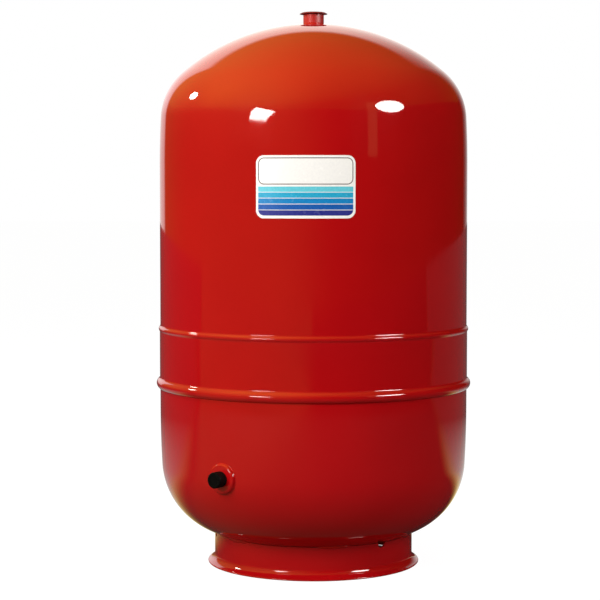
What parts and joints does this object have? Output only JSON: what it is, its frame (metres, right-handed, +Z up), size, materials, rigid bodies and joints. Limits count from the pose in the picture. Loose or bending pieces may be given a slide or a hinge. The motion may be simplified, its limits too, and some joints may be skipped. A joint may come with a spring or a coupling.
{
  "type": "expansion vessel",
  "caption": "Floor-standing steel expansion vessel with domed ends, rubber diaphragm, threaded top socket with transport plug, capped air valve and flared base ring.",
  "frame": {"origin": "on the floor, on the vessel's vertical axis, in the plane of the foot's underside", "axes": "+Z up along the vessel's axis, -Y towards the labelled front, +X to the right when looking at the front"},
  "size_m": [0.5128, 0.5128, 0.8961],
  "materials": {
    "red_paint": "glossy red enamel",
    "membrane_rubber": "moulded black butyl, matt",
    "bare_steel": "rolled steel",
    "plug_plastic": "moulded dark red plastic, satin",
    "valve_brass": "turned brass",
    "seal_rubber": "moulded black rubber",
    "black_plastic": "moulded black plastic, satin",
    "printed_film": "printed glossy film",
    "silver_foil": "satin metallised film"
  },
  "bodies": {
    "vessel": {"upper_shell": "red_paint", "lower_shell": "red_paint", "connection_socket": "red_paint", "base_ring": "red_paint", "valve_boss": "red_paint", "diaphragm_wall": "membrane_rubber", "clamp_ring": "bare_steel", "valve_stem": "valve_brass", "stem_gasket": "seal_rubber", "valve_core_barrel": "valve_brass", "valve_core_seal": "seal_rubber", "valve_core_spring": "bare_steel", "front_label": "printed_film", "rating_label": "silver_foil"},
    "plug": {"transport_plug": "plug_plastic"},
    "cap_washer": {"cap_seal": "seal_rubber"},
    "cap": {"protective_cap": "black_plastic"},
    "core_pin": {"valve_core_pin": "valve_brass", "valve_core_washer": "seal_rubber"},
    "diaphragm": {"diaphragm_crown": "membrane_rubber"}
  },
  "joints": [
    {"name": "plug_pull", "type": "slide", "parent": "vessel", "child": "plug", "axis": [0, 0, 1], "range_m": [0, 0.05]},
    {"name": "cap_lift", "type": "slide", "parent": "vessel", "child": "cap_washer", "axis": [-0.5635, -0.8261, 0], "range_m": [0, 0.00834]},
    {"name": "cap_turn", "type": "hinge", "parent": "cap_washer", "child": "cap", "pos_m": [-0.15215, -0.22305, 0.1664], "axis": [-0.5635, -0.8261, 0], "range_deg": [0, 3780]},
    {"name": "pin_press", "type": "slide", "parent": "vessel", "child": "core_pin", "axis": [0.5635, 0.8261, 0], "range_m": [0, 0.0012], "stiffness_N_per_m": 400, "springref_m": -0.001, "deforming": ["valve_core_spring"]},
    {"name": "diaphragm_travel", "type": "slide", "parent": "vessel", "child": "diaphragm", "axis": [0, 0, -1], "range_m": [0, 0.298], "stiffness_N_per_m": 120, "springref_m": -0.2, "deforming": ["diaphragm_wall"]}
  ],
  "couplings": [
    {"joint": "cap_lift", "follows": "cap_turn", "m_per_rad": 0.00012637}
  ]
}
